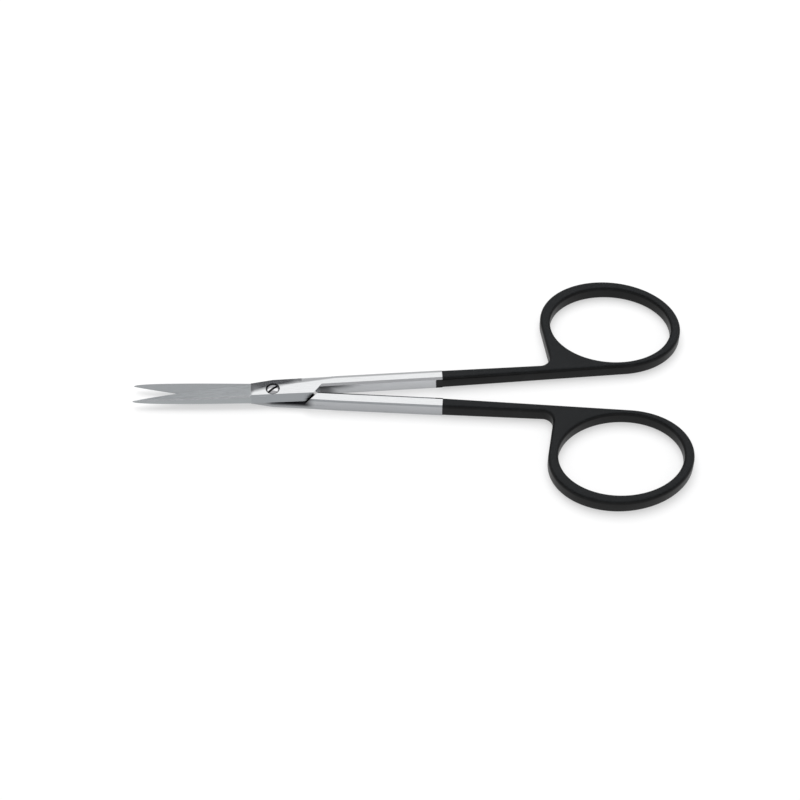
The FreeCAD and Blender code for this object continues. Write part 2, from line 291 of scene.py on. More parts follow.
class Side(Enum):
    """Which half of the scissors a piece belongs to, as it lies on the table."""

    UPPER = "upper"
    LOWER = "lower"


@dataclass(frozen=True)
class HalfAxes:
    """A half's own axes: x from the pivot to its ring, y to the side that its ring is on, z out of its show face.

    Both halves are one design. The lower one lies turned over, and each is swung away from the middle.
    """

    side: Side
    swing: float = math.radians(3.8)
    thickness: float = 3.2

    def _turned(self, shader: Shader, vector: bpy.types.NodeSocket, kind: str, shift: float) -> bpy.types.NodeSocket:
        """Turns a vector into the half's axes.

        Args:
            shader: the material's nodes.
            vector: the vector in the frame's axes.
            kind: POINT for a place and VECTOR for a direction.
            shift: how far a turned over place is lifted.

        Returns:
            The vector in the half's axes.
        """
        over = self.side is Side.LOWER
        inputs = {
            "Vector": vector,
            "Rotation": (0.0, 0.0, -self.swing),
            "Scale": (1.0, -1.0, -1.0) if over else (1.0, 1.0, 1.0),
        }
        if kind == "POINT" and over:
            inputs["Location"] = (0.0, 0.0, shift)
        return shader.add("ShaderNodeMapping", {"vector_type": kind}, inputs).outputs[0]

    def place(self, shader: Shader) -> bpy.types.NodeSocket:
        """Returns the place of a surface point, in millimetres."""
        return self._turned(shader, shader.millimetres(), "POINT", self.thickness)

    def placement(self) -> Matrix:
        """Returns the move from the half's own axes to the frame's, from millimetres to metres."""
        turn = Matrix.Rotation(self.swing, 4, "Z")
        if self.side is Side.LOWER:
            lifted = Matrix.Translation((0.0, 0.0, self.thickness))
            turn = Matrix.Rotation(-self.swing, 4, "Z") @ lifted @ Matrix.Rotation(math.pi, 4, "X")
        return Matrix.Scale(MM, 4) @ turn

    def facing(self, shader: Shader) -> bpy.types.NodeSocket:
        """Returns the direction that a surface faces."""
        source = shader.add("ShaderNodeTexCoord").outputs["Normal"]
        return self._turned(shader, source, "VECTOR", 0.0)


@dataclass(frozen=True)
class Spot:
    """A surface point in its half's own axes: where it lies, in millimetres, and which way it faces."""

    place: bpy.types.NodeSocket
    along: Signal
    across: Signal
    height: Signal
    face_x: Signal
    face_y: Signal
    face_z: Signal

    @classmethod
    def read(cls, shader: Shader, axes: HalfAxes) -> "Spot":
        """Reads the point that a material is worked out for."""
        place = axes.place(shader)
        return cls(place, *shader.parts(place), *shader.parts(axes.facing(shader)))


class Workshop:
    """Makes solids out of outlines, in millimetres, and joins or cuts them."""

    WELD = 1e-5
    CORNER_STEPS = 5

    @classmethod
    def _solid(cls, name: str, form: bmesh.types.BMesh) -> bpy.types.Object:
        """Turns a finished form into an object with its faces outward."""
        bmesh.ops.remove_doubles(form, verts=form.verts, dist=cls.WELD)
        bmesh.ops.recalc_face_normals(form, faces=form.faces)
        mesh = bpy.data.meshes.new(name)
        form.to_mesh(mesh)
        form.free()
        return placed(name, mesh)

    @classmethod
    def loft(cls, name: str, sections: Sequence[Sequence[Tone]], closed: bool = False) -> bpy.types.Object:
        """Joins sections of equally many corners by straight sides.

        Args:
            name: the solid's name.
            sections: each section's corners, in order.
            closed: whether the last section meets the first, as in a turned piece.

        Returns:
            The solid.
        """
        form = bmesh.new()
        rows = [[form.verts.new(corner) for corner in section] for section in sections]
        pairs = list(zip(rows, rows[1:])) + ([(rows[-1], rows[0])] if closed else [])
        for near, far in pairs:
            for index in range(len(near)):
                after = (index + 1) % len(near)
                corners = (near[index], near[after], far[after], far[index])
                if len({tuple(round(c, 6) for c in corner.co) for corner in corners}) > 2:
                    form.faces.new(corners)
        if not closed:
            form.faces.new(rows[0])
            form.faces.new(rows[-1])
        bmesh.ops.triangulate(form, faces=form.faces)
        return cls._solid(name, form)

    @classmethod
    def turned(cls, name: str, profile: Sequence[tuple[float, float]], steps: int = 72) -> bpy.types.Object:
        """Turns a profile of radius and height about the z axis."""
        sections = []
        for step in range(steps):
            turn = 2 * math.pi * step / steps
            sections.append([(r * math.cos(turn), r * math.sin(turn), height) for r, height in profile])
        return cls.loft(name, sections, closed=True)

    @classmethod
    def rounded_plate(
        cls, name: str, outlines: Sequence[Sequence[tuple[float, float]]], low: float, high: float, corner: float
    ) -> bpy.types.Object:
        """Makes a flat piece with rounded edges.

        Args:
            name: the solid's name.
            outlines: its outline, and then those of its holes.
            low: the height of its under side.
            high: the height of its top.
            corner: the radius of its edges.

        Returns:
            The solid.
        """
        curve = bpy.data.curves.new(name, "CURVE")
        curve.dimensions = "2D"
        curve.fill_mode = "BOTH"
        curve.extrude = (high - low) / 2 - corner
        curve.bevel_depth = corner
        curve.bevel_resolution = cls.CORNER_STEPS
        curve.offset = -corner
        for outline in outlines:
            spline = curve.splines.new("POLY")
            spline.points.add(len(outline) - 1)
            for point, place in zip(spline.points, outline):
                point.co = (*place, 0.0, 1.0)
            spline.use_cyclic_u = True
        pattern = placed(name, curve)
        mesh = bpy.data.meshes.new_from_object(pattern.evaluated_get(bpy.context.evaluated_depsgraph_get()))
        bpy.data.objects.remove(pattern)
        form = bmesh.new()
        form.from_mesh(mesh)
        bmesh.ops.translate(form, verts=form.verts, vec=(0.0, 0.0, (low + high) / 2))
        return cls._solid(name, form)

    @classmethod
    def trimmed(cls, solid: bpy.types.Object, reach: float) -> bpy.types.Object:
        """Cuts off what a solid has below a reach along x, and closes the cut."""
        form = bmesh.new()
        form.from_mesh(solid.data)
        everything = [*form.verts, *form.edges, *form.faces]
        cut = bmesh.ops.bisect_plane(
            form, geom=everything, plane_co=(reach, 0, 0), plane_no=(1, 0, 0), clear_inner=True
        )
        rim = [item for item in cut["geom_cut"] if isinstance(item, bmesh.types.BMEdge)]
        bmesh.ops.triangle_fill(form, edges=rim, use_beauty=True)
        name = solid.name
        bpy.data.objects.remove(solid)
        return cls._solid(name, form)

    @staticmethod
    def combined(base: bpy.types.Object, operation: str, *tools: bpy.types.Object) -> bpy.types.Object:
        """Joins tools to a solid or cuts them out of it.

        Args:
            base: the solid, which keeps its name.
            operation: UNION or DIFFERENCE.
            tools: the other solids, which are used up.

        Returns:
            The solid.
        """
        for tool in tools:
            change = base.modifiers.new(tool.name, "BOOLEAN")
            change.operation, change.object, change.solver = operation, tool, "EXACT"
            mesh = bpy.data.meshes.new_from_object(base.evaluated_get(bpy.context.evaluated_depsgraph_get()))
            base.modifiers.clear()
            base.data = mesh
            bpy.data.objects.remove(tool)
        return base


@dataclass(frozen=True)
class RingEllipse:
    """The ring's rim or its finger hole in plan, in millimetres and degrees."""

    centre: tuple[float, float]
    long_half: float
    short_half: float
    tilt: float

    def inset(self, by: float) -> "RingEllipse":
        """Returns the ellipse with both half axes shorter by the same length."""
        return replace(self, long_half=self.long_half - by, short_half=self.short_half - by)

    def at(self, turn: float) -> tuple[float, float]:
        """Returns the point at one turn from the long axis, in radians."""
        tilt = math.radians(self.tilt)
        u, v = self.long_half * math.cos(turn), self.short_half * math.sin(turn)
        return (
            self.centre[0] + u * math.cos(tilt) - v * math.sin(tilt),
            self.centre[1] + u * math.sin(tilt) + v * math.cos(tilt),
        )

    def facing(self, angle: float) -> float:
        """Returns the turn of the point whose outward normal has an angle to the x axis."""
        normal = math.radians(angle - self.tilt)
        return math.atan2(self.short_half * math.sin(normal), self.long_half * math.cos(normal))

    def touched_from(self, start: tuple[float, float]) -> float:
        """Returns the turn of the lower point that a line from a start in front of the ring touches."""
        tilt = math.radians(self.tilt)
        x, y = start[0] - self.centre[0], start[1] - self.centre[1]
        u = (x * math.cos(tilt) + y * math.sin(tilt)) / self.long_half
        v = (y * math.cos(tilt) - x * math.sin(tilt)) / self.short_half
        return math.atan2(v, u) + math.acos(1 / math.hypot(u, v))


@dataclass(frozen=True)
class HandleForm:
    """The coated handle in its half's own axes: shank, web and finger ring, in millimetres and degrees."""

    thickness: float = 3.2
    coat_edge: float = 35.0
    coat_wall: float = 0.1
    run_in: float = 2.0
    inner: float = 0.1
    outer: float = 2.55
    neck: float = 52.0
    neck_outer: float = 2.44
    rim: RingEllipse = RingEllipse((71.40, 12.61), 14.77, 11.66, -13.2)
    hole: RingEllipse = RingEllipse((71.40, 12.19), 12.64, 9.91, -9.7)
    web_lean: float = 5.5
    crotch_radius: float = 2.1
    corner: float = 0.68
    rim_steps: int = 150
    crotch_steps: int = 12
    hole_steps: int = 160

    def outline(self, inset: float) -> list[tuple[float, float]]:
        """Returns the outline in plan, every side set in by the inset."""
        rim = self.rim.inset(inset)
        lean = math.radians(self.web_lean)
        up = Vector((-math.sin(lean), math.cos(lean)))
        along = Vector((self.neck - self.coat_edge, self.neck_outer - self.outer)).normalized()
        outer_start = Vector((self.coat_edge, self.outer - inset))
        foot = rim.touched_from((self.coat_edge, self.inner + inset))
        brow = rim.facing(180 + self.web_lean)
        brow += 2 * math.pi if brow < foot else 0.0
        brow_point = Vector(rim.at(brow))
        gap = brow_point - outer_start
        corner = outer_start + along * ((gap.x * up.y - gap.y * up.x) / (along.x * up.y - along.y * up.x))
        half_angle = math.acos(-up.dot(along)) / 2
        radius = self.crotch_radius + inset
        centre = corner + (up - along).normalized() * (radius / math.sin(half_angle))
        first = corner + up * (radius / math.tan(half_angle)) - centre
        last = corner - along * (radius / math.tan(half_angle)) - centre
        sweep = first.angle_signed(last)
        inner_start = Vector((self.coat_edge, self.inner + inset))
        inner_way = (Vector(rim.at(foot)) - inner_start).normalized()
        points = [tuple(inner_start - inner_way * self.run_in)]
        points += [rim.at(foot + (brow - foot) * step / self.rim_steps) for step in range(self.rim_steps + 1)]
        for step in range(self.crotch_steps + 1):
            turn = -sweep * step / self.crotch_steps
            spoke = Vector((
                first.x * math.cos(turn) - first.y * math.sin(turn),
                first.x * math.sin(turn) + first.y * math.cos(turn),
            ))
            points.append(tuple(centre + spoke))
        points.append(tuple(outer_start - along * self.run_in))
        return points

    def solid(self, name: str, inset: float) -> bpy.types.Object:
        """Returns the handle's form, which starts in front of the coat's edge."""
        hole = self.hole.inset(-inset)
        holes = [hole.at(2 * math.pi * step / self.hole_steps) for step in range(self.hole_steps)]
        return Workshop.rounded_plate(
            name, (self.outline(inset), holes), inset, self.thickness - inset, self.corner - inset
        )

    def coat(self, name: str) -> bpy.types.Object:
        """Returns the coat: a thin shell from its edge round the ring."""
        form = Workshop.trimmed(self.solid(name, 0.0), self.coat_edge)
        return Workshop.combined(form, "DIFFERENCE", self.solid("core", self.coat_wall))


@dataclass(frozen=True)
class SteelForm:
    """The steel of one half in its own axes, blade towards -x, in millimetres and degrees."""

    thickness: float = 3.2
    lap_gap: float = 0.02
    tip_reach: float = 28.9
    neck_reach: float = 1.5
    spine: tuple[float, float] = (0.16, 2.4)
    edge: tuple[float, float] = (-0.02, 2.1)
    height: tuple[float, float] = (0.12, 1.4)
    spine_growth: float = 0.55
    height_growth: float = 0.5
    bevel_portion: float = 0.6
    bevel_slope: float = 78.0
    ridge_portion: float = 0.15
    ridge_slope: float = 25.0
    spine_slope: float = 60.0
    lap_spine_front: float = 2.27
    lap_spine: float = 2.49
    lap_ring: float = 2.5
    plate_front: float = 4.4
    plate_notch: tuple[float, float] = (-3.6, 0.1)
    plate_far: float = 1.05
    chamfer: float = 0.3
    skirt: float = 0.6
    shoulder: tuple[float, float, float] = (9.6, 52.0, 33.0)
    shoulder_gap: float = 0.12
    shank_start: float = 6.0
    shank_waist: float = 13.0
    waist_outer: float = 2.6
    inner_chamfer: float = 0.5
    outer_chamfer: float = 0.34
    recess_reach: float = 40.0
    steps: int = 14
    handle: HandleForm = HandleForm()

    @property
    def inner_face(self) -> float:
        """The height of the face that the other half turns on."""
        return (self.thickness + self.lap_gap) / 2

    def _spine_side(self, front: float, height: float) -> float:
        """Returns how far across the lap's ground side is at a height."""
        return -(front - (height - self.inner_face) / math.tan(math.radians(self.spine_slope)))

    def blade(self) -> bpy.types.Object:
        """Returns the blade: flat inside, with a ridge land and a steep cutting bevel."""
        sections = []
        base = self.inner_face
        for step in range(self.steps + 1):
            share = (step / self.steps) ** 2
            spine = self.spine[0] + (self.spine[1] - self.spine[0]) * share**self.spine_growth
            tall = self.height[0] + (self.height[1] - self.height[0]) * share**self.height_growth
            edge = self.edge[0] + (self.edge[1] - self.edge[0]) * math.sin(math.pi / 2 * share)
            x = -(self.neck_reach + (self.tip_reach - self.neck_reach) * (1 - share))
            rise = tall * (1 - self.ridge_portion)
            ridge = -spine + rise / math.tan(math.radians(self.spine_slope))
            land = ridge + tall * self.ridge_portion / math.tan(math.radians(self.ridge_slope))
            steep = tall * self.bevel_portion
            bevel = edge - steep / math.tan(math.radians(self.bevel_slope))
            sections.append([
                (x, -spine, base), (x, ridge, base + rise), (x, land, base + tall), (x, bevel, base + steep),
                (x, edge, base),
            ])
        return Workshop.loft("blade", sections)

    def _lap_end(self, across: float, height: float) -> float:
        """Returns the reach of the lap's raked end."""
        reach, angle, rake = self.shoulder
        return reach + across / math.tan(math.radians(angle)) - (self.thickness - height) * math.tan(
            math.radians(rake)
        )

    def _recess_end(self, across: float, height: float) -> float:
        """Returns the reach of the shank's shoulder, which the other half's lap end faces."""
        reach, angle, rake = self.shoulder
        return (
            reach - across / math.tan(math.radians(angle)) - height * math.tan(math.radians(rake)) + self.shoulder_gap
        )

    def plate(self) -> bpy.types.Object:
        """Returns the joint plate: the lap round the screw with its raised, polished plate."""
        inner, outer = self.handle.inner, self.waist_outer
        lap_corner = (self.plate_notch[0] - 1.5 * self.skirt, self.lap_ring - self.skirt)
        edge_height = self.thickness - self.chamfer
        levels = (
            (self.inner_face, self.plate_front + self.skirt, lap_corner, self.lap_ring, inner, outer),
            (edge_height, self.plate_front + self.skirt / 2, lap_corner, self.lap_ring, inner, outer),
            (
                self.thickness, self.plate_front, self.plate_notch, self.plate_far,
                inner + self.inner_chamfer, outer - self.outer_chamfer,
            ),
        )
        sections = []
        for height, front, far_corner, far, inside, outside in levels:
            near = self._spine_side(self.lap_spine, height)
            plan = (
                (-front, self._spine_side(self.lap_spine_front, height)),
                (self._lap_end(near, height), near),
                (self._lap_end(inside, height), inside),
                (self.shank_waist, inside),
                (self.shank_waist, outside),
                (self.shank_start, far + (outside - far) / 3),
                (0.0, far),
                far_corner,
            )
            sections.append([(x, y, height) for x, y in plan])
        return Workshop.loft("plate", sections)

    def shank(self) -> bpy.types.Object:
        """Returns the bare shank, chamfered along its edges, up to the coat."""
        sections = []
        stations = (
            (self.shank_start, self.lap_ring), (self.shank_waist, self.waist_outer),
            (self.handle.coat_edge, self.handle.outer),
        )
        for x, outer in stations:
            inner = self.handle.inner
            near, far = inner + self.inner_chamfer, outer - self.outer_chamfer
            low, high = self.chamfer, self.thickness - self.chamfer
            plan = (
                (inner, low), (inner, high), (near, self.thickness), (far, self.thickness),
                (outer, high), (outer, low), (far, 0.0), (near, 0.0),
            )
            sections.append([(x, y, z) for y, z in plan])
        return Workshop.loft("shank", sections)

    def recess(self) -> bpy.types.Object:
        """Returns the room for the other half's blade and lap, up to the raked shoulder."""
        sections = []
        for height in (-self.thickness, self.inner_face):
            side = 2 * self.thickness
            plan = (
                (-self.recess_reach, -side), (self._recess_end(-side, height), -side),
                (self._recess_end(side, height), side), (-self.recess_reach, side),
            )
            sections.append([(x, y, height) for x, y in plan])
        return Workshop.loft("recess", sections)

    def solid(self, name: str, bore: Sequence[tuple[float, float]]) -> bpy.types.Object:
        """Makes the half.

        Args:
            name: the solid's name.
            bore: the radius and height of the screw's hole, from the hidden side out.

        Returns:
            The solid.
        """
        half = Workshop.combined(self.plate(), "UNION", self.blade(), self.shank())
        half = Workshop.combined(half, "DIFFERENCE", self.recess(), Workshop.turned("bore", bore))
        half = Workshop.combined(half, "UNION", self.handle.solid("core", self.handle.coat_wall))
        half.name = name
        return half


@dataclass(frozen=True)
class ScrewForm:
    """The pivot screw and the holes that it passes, in millimetres and degrees."""

    radius: float = 0.8
    head_radius: float = 1.38
    head_top: float = 3.15
    dome: float = 0.34
    rim: float = 0.14
    cone: float = 0.45
    running_fit: float = 0.03
    thread_fit: float = 0.01
    seat_rim: float = 0.07
    slot_width: float = 0.5
    slot_depth: float = 0.16
    slot_angle: float = 42.0
    dome_steps: int = 8
    far: float = 8.0

    def bore(self, side: Side) -> list[tuple[float, float]]:
        """Returns the profile of the hole through one half."""
        if side is Side.LOWER:
            hole = self.radius + self.thread_fit
            return [(0.0, -self.far), (hole, -self.far), (hole, self.far), (0.0, self.far)]
        hole, seat = self.radius + self.running_fit, self.head_radius + self.seat_rim
        foot = self.head_top - self.dome - self.rim - self.cone - self.running_fit
        top = foot + (seat - hole) * self.cone / (self.head_radius - self.radius)
        return [(0.0, -self.far), (hole, -self.far), (hole, foot), (seat, top), (seat, self.far), (0.0, self.far)]

    def solid(self, name: str) -> bpy.types.Object:
        """Returns the screw, with its domed and slotted head."""
        brim = self.head_top - self.dome
        profile = [(0.0, 0.0), (self.radius, 0.0), (self.radius, brim - self.rim - self.cone),
                   (self.head_radius, brim - self.rim)]
        for step in range(self.dome_steps + 1):
            share = 1 - step / self.dome_steps
            profile.append((self.head_radius * share, brim + self.dome * (1 - share**2)))
        reach, half_width, low = 2 * self.head_radius, self.slot_width / 2, brim - self.slot_depth
        turn = math.radians(self.slot_angle)
        way, side = Vector((math.cos(turn), math.sin(turn), 0)), Vector((-math.sin(turn), math.cos(turn), 0))
        sections = [
            [tuple(way * u + side * v + Vector((0, 0, z))) for u, v in
             ((-reach, -half_width), (reach, -half_width), (reach, half_width), (-reach, half_width))]
            for z in (low, self.far)
        ]
        return Workshop.combined(Workshop.turned(name, profile), "DIFFERENCE", Workshop.loft("slot", sections))


@dataclass(frozen=True)
class JointMarks:
    """Where a half is painted dark: painted shade and painted reflections by its joint, and the coat's overspray.

    Each span runs from where a mark sets in to where it is full: in millimetres along, across and in height, or in how
    far a face looks along an axis. A depth is a mark's strength, up to 1.
    """

    blade_end: float = -4.5
    blur: float = 0.1
    show_facing: Span = (0.9, 0.97)
    # crown and rim spans: where the painted reflection, a dark band on the polished show face, lies
    crown_lean: float = 0.2
    crown_across: Span = (-0.15, 1.0)
    crown_along: Span = (7.5, 3.0)
    crown_depth: float = 0.92
    rim_lean: float = -0.095
    rim_root: float = 1.0
    rim_shank: float = 2.22
    rim_across: Span = (-0.55, -0.15)
    rim_along: Span = (0.0, 2.0)
    rim_depth: float = 0.62
    # inner_side, parting and under spans: where the painted shade by the joint lies
    inner_side: Span = (-0.4, -0.7)
    parting_along: Span = (19.0, 12.0)
    parting_height: Span = (1.0, 3.0)
    parting_root: Span = (14.0, 11.0)
    parting_start: Span = (9.0, 10.0)
    parting_depth: float = 0.72
    outer_side: Span = (0.4, 0.7)
    under_height: Span = (2.75, 1.65)
    under_along: Span = (9.0, 6.8)
    under_start: Span = (-3.5, 0.5)
    under_depth: float = 0.9
    lap_facing: Span = (0.9, 0.98)
    lap_end: float = 11.5
    lap_skin: float = 0.08
    shoulder_lean: Span = (-0.3, -0.45)
    shoulder_along: Span = (5.0, 5.5)
    shoulder_skin: float = 0.05
    # corner and strip spans: where painted shade lies on the lap
    corner_along: Span = (5.8, 6.6)
    strip_across: Span = (1.55, 1.85)
    strip_along: Span = (-2.5, 1.0)
    spray_along: Span = (33.75, 33.85)
    spray_side: Span = (-0.6, -0.75)
    spray_scale: float = 2.5
    spray_ragged: float = 0.3

    def crown_painted_reflection(self, spot: Spot) -> Signal:
        """Finds the painted reflection: a dark band painted on the polished show face towards its far edge, where a
        darker part of the room would be mirrored.
        """
        edgeward = (spot.across - spot.along * self.crown_lean).ramp(*self.crown_across)
        edgeward *= spot.along.ramp(*self.crown_along) * self.crown_depth
        edge = (spot.along * self.rim_lean - self.rim_root).larger(-self.rim_shank)
        rim = (spot.across + edge).ramp(*self.rim_across) * spot.along.ramp(*self.rim_along) * self.rim_depth
        return edgeward.larger(rim) * spot.face_z.ramp(*self.show_facing)

    def crevice_painted_shade(self, spot: Spot) -> Signal:
        """Finds the painted shade: a painted reflection of the dark gap on the inner sides where the shanks part, and
        a painted shadow on the sides under the other half's plate.
        """
        parting = spot.along.ramp(*self.parting_along) * spot.height.ramp(*self.parting_height)
        parting = parting.larger(spot.along.ramp(*self.parting_root)) * spot.along.ramp(*self.parting_start)
        gap_painted_reflection = parting * spot.face_y.ramp(*self.inner_side) * self.parting_depth
        # painted shadow on the sides under the other half's plate
        under = spot.height.ramp(*self.under_height) * spot.face_y.ramp(*self.outer_side)
        under *= spot.along.ramp(*self.under_along) * spot.along.ramp(*self.under_start) * self.under_depth
        return gap_painted_reflection.larger(under)

    def lap(self, spot: Spot, middle: float) -> Signal:
        """Finds the faces that turn on each other inside the joint.

        Args:
            spot: the surface point.
            middle: the height at which the halves meet.

        Returns:
            1 on the lap and its shoulder, 0 elsewhere.
        """
        in_reach = spot.along.ramp(self.lap_end + self.blur, self.lap_end)
        in_reach *= spot.along.ramp(self.blade_end - self.blur, self.blade_end + self.blur)
        flat = abs(spot.height - middle).ramp(self.lap_skin * 2, self.lap_skin)
        flat *= abs(spot.face_z).ramp(*self.lap_facing)
        shoulder = spot.face_x.ramp(*self.shoulder_lean) * spot.along.ramp(*self.shoulder_along)
        shoulder *= spot.height.ramp(middle + self.shoulder_skin, middle - self.shoulder_skin)
        return flat.larger(shoulder) * in_reach

    def corner(self, spot: Spot) -> Signal:
        """Finds the painted shade on the lap: by the shoulder and along its covered strip."""
        strip = spot.across.ramp(*self.strip_across) * spot.along.ramp(*self.strip_along)
        return spot.along.ramp(*self.corner_along).larger(strip)

    def overspray(self, shader: Shader, spot: Spot) -> Signal:
        """Finds where the coat's edge runs on over the shank's inner side."""
        ragged = shader.noise(spot.place, self.spray_scale) * self.spray_ragged
        return (spot.along + ragged).ramp(*self.spray_along) * spot.face_y.ramp(*self.spray_side)


@dataclass(frozen=True)
class GroundSteel:
    """Stainless steel of the halves: satin ground blades, a polished joint plate and shanks, a dull lap; shade,
    reflections and a highlight by the joint and on the blades are painted into its colour.
    """

    polished: Tone = (0.86, 0.87, 0.88)
    # flank and leaning side tones: the ground finish, darkened as painted shade, each side its own tone
    inner_flank: Tone = (0.55, 0.56, 0.575)
    outer_flank: Tone = (0.44, 0.45, 0.465)
    leaning_side_painted_shade: Tone = (0.32, 0.335, 0.35)
    satin: Tone = (0.67, 0.70, 0.715)
    satin_inside: Tone = (0.39, 0.405, 0.42)
    # painted shade: the spine side's darker tone
    satin_spine_painted_shade: Tone = (0.36, 0.38, 0.39)
    # painted highlight: the ridge land's bright tone
    ridge: Tone = (0.93, 0.95, 0.96)
    lap: Tone = (0.36, 0.37, 0.385)
    # painted shade: the near-black tone laid in the joint's crevices and on the lap's covered strip
    crevice_painted_shade: Tone = (0.012, 0.012, 0.014)
    # painted reflection: the dark tone of the band near the show face's far edge
    crown_painted_reflection: Tone = (0.13, 0.135, 0.145)
    overspray: Tone = (0.006, 0.006, 0.0065)
    overspray_specular: float = 0.16
    polished_roughness: float = 0.16
    satin_roughness: float = 0.32
    level: Span = (0.74, 0.82)
    flank_turn: Span = (-0.3, 0.3)
    lean: Span = (0.15, 0.4)
    spine_turn: Span = (0.6, 0.8)
    ridge_lean: Span = (-0.2, -0.34)
    ridge_level: Span = (0.75, 0.85)
    inside_turn: Span = (-0.6, -0.8)
    streak_scale: Tone = (0.5, 5.0, 5.0)
    streak_detail: float = 4.0
    grain_scale: Tone = (38.0, 3.0, 3.0)
    grain_detail: float = 3.0
    fineness: float = 0.65
    cloud_span: Span = (0.36, 0.7)
    cloud_share: float = 0.1
    blade_cloud_share: float = 0.3
    cloud_tone: float = 0.5
    cloud_roughness: float = 0.1
    streak_relief: float = 0.3
    grain_depth: float = 1.6e-6
    marks: JointMarks = JointMarks()

    def make(self, name: str, axes: HalfAxes) -> bpy.types.Material:
        """Makes the material of one half.

        Args:
            name: the material's name.
            axes: the half's own axes.

        Returns:
            The material.
        """
        shader = Shader(bpy.data.materials.new(name))
        spot = Spot.read(shader, axes)
        marks = self.marks
        blade = spot.along.ramp(marks.blade_end + marks.blur, marks.blade_end - marks.blur)
        polished = abs(spot.face_z).ramp(*self.level)
        streaks = self._brushed(shader, spot, self.streak_scale, self.streak_detail)
        grain = self._brushed(shader, spot, self.grain_scale, self.grain_detail)
        sprayed = marks.overspray(shader, spot)

        metal = shader.blend(blade, self._shank_tone(shader, spot, polished), self._blade_tone(shader, spot))
        clouds = streaks.ramp(*self.cloud_span) * (self.cloud_share + blade * self.blade_cloud_share)
        clouded = shader.blend(clouds, metal, tuple(self.cloud_tone * c for c in self.satin))
        # painted shade where the shanks part and under the other half's plate, left off the polished faces
        shaded = shader.blend(marks.crevice_painted_shade(spot) * (1.0 - polished), clouded, self.crevice_painted_shade)
        # painted shade on the lap by the shoulder and along its covered strip; elsewhere the lap keeps its dull ground
        # tone
        lap = shader.blend(marks.corner(spot), self.lap, self.crevice_painted_shade)
        lapped = shader.blend(marks.lap(spot, axes.thickness / 2), shaded, lap)

        satin_share = blade.larger(1.0 - polished)
        roughness = (
            self.polished_roughness
            + satin_share * (self.satin_roughness - self.polished_roughness)
            + (streaks - 0.5) * self.cloud_roughness
        )
        return shader.surfaced({
            "Base Color": shader.blend(sprayed, lapped, self.overspray),
            "Metallic": 1.0 - sprayed,
            "Roughness": roughness,
            "Specular IOR Level": self.overspray_specular,
            "Normal": shader.bump(grain * satin_share + streaks * self.streak_relief, self.grain_depth),
        })

    def _shank_tone(self, shader: Shader, spot: Spot, polished: Signal) -> bpy.types.NodeSocket:
        """Returns the colour behind the blade: polished above and below, ground on flanks and leaning sides, whose
        darker tones, one for each flank and one for the leaning sides, are partly painted shade.
        """
        # painted shade: each flank and the leaning sides get their own darker tone
        flank_painted_shade = shader.blend(spot.face_y.ramp(*self.flank_turn), self.inner_flank, self.outer_flank)
        sides = shader.blend(abs(spot.face_z).ramp(*self.lean), flank_painted_shade, self.leaning_side_painted_shade)
        # painted reflection: the dark band laid over the polished tone
        with_painted_reflection = shader.blend(self.marks.crown_painted_reflection(spot), self.polished, self.crown_painted_reflection)
        return shader.blend(polished, sides, with_painted_reflection)

    def _blade_tone(self, shader: Shader, spot: Spot) -> bpy.types.NodeSocket:
        """Returns the blade's colour: a painted highlight along its ridge, painted shade on the ground spine side,
        dull inside.
        """
        outside = shader.blend(spot.face_z.ramp(*self.spine_turn), self.satin_spine_painted_shade, self.satin)
        # painted highlight along the ridge land
        ridge = spot.face_y.ramp(*self.ridge_lean) * spot.face_z.ramp(*self.ridge_level)
        with_painted_ridge_highlight = shader.blend(ridge, outside, self.ridge)
        return shader.blend(spot.face_z.ramp(*self.inside_turn), with_painted_ridge_highlight, self.satin_inside)

    def _brushed(self, shader: Shader, spot: Spot, scale: Tone, detail: float) -> Signal:
        """Makes marks that run one way.

        Args:
            shader: the material's nodes.
            spot: the surface point.
            scale: how many marks there are in a millimetre along, across and in height.
            detail: how many finer layers they have.

        Returns:
            A number about 0.5 that varies from 0 to 1.
        """
        stretched = shader.add("ShaderNodeMapping", inputs={"Vector": spot.place, "Scale": scale}).outputs[0]
        return shader.noise(stretched, 1.0, detail, self.fineness)


@dataclass(frozen=True)
class BlackCoat:
    """The handles' black coat: a thin satin film that follows the steel, with its flanks given a darker tone than its
    top and underside as painted shade.
    """

    # painted light and shade: a lighter tone for faces that look up or down, a darker one for the flanks
    top: Tone = (0.0105, 0.0115, 0.0125)
    flank_painted_shade: Tone = (0.0022, 0.0024, 0.0026)
    roughness: float = 0.38
    specular: float = 0.16
    level: Span = (0.75, 0.99)
    handling_scale: float = 0.35
    handling_roughness: float = 0.14
    wear_span: Span = (0.45, 0.8)
    wear_share: float = 0.3
    wear_tone: float = 1.5
    pore_scale: float = 9.0
    pore_depth: float = 4.0e-6

    def make(self, name: str, axes: HalfAxes) -> bpy.types.Material:
        """Makes the material of one handle's coat.

        Args:
            name: the material's name.
            axes: the half's own axes.

        Returns:
            The material.
        """
        shader = Shader(bpy.data.materials.new(name))
        place = axes.place(shader)
        face_z = shader.parts(axes.facing(shader))[2]
        handling = shader.noise(place, self.handling_scale, 3.0, 0.6)
        pores = shader.noise(place, self.pore_scale, 3.0, 0.6)
        # painted shade: flanks darker than the faces that look up or down
        tone = shader.blend(abs(face_z).ramp(*self.level), self.flank_painted_shade, self.top)
        wear_share = handling.ramp(*self.wear_span) * self.wear_share
        worn = shader.blend(wear_share, tone, tuple(self.wear_tone * c for c in self.top))
        return shader.surfaced({
            "Base Color": worn,
            "Roughness": self.roughness + (handling - 0.5) * self.handling_roughness,
            "Specular IOR Level": self.specular,
            "Normal": shader.bump(pores, self.pore_depth),
        })


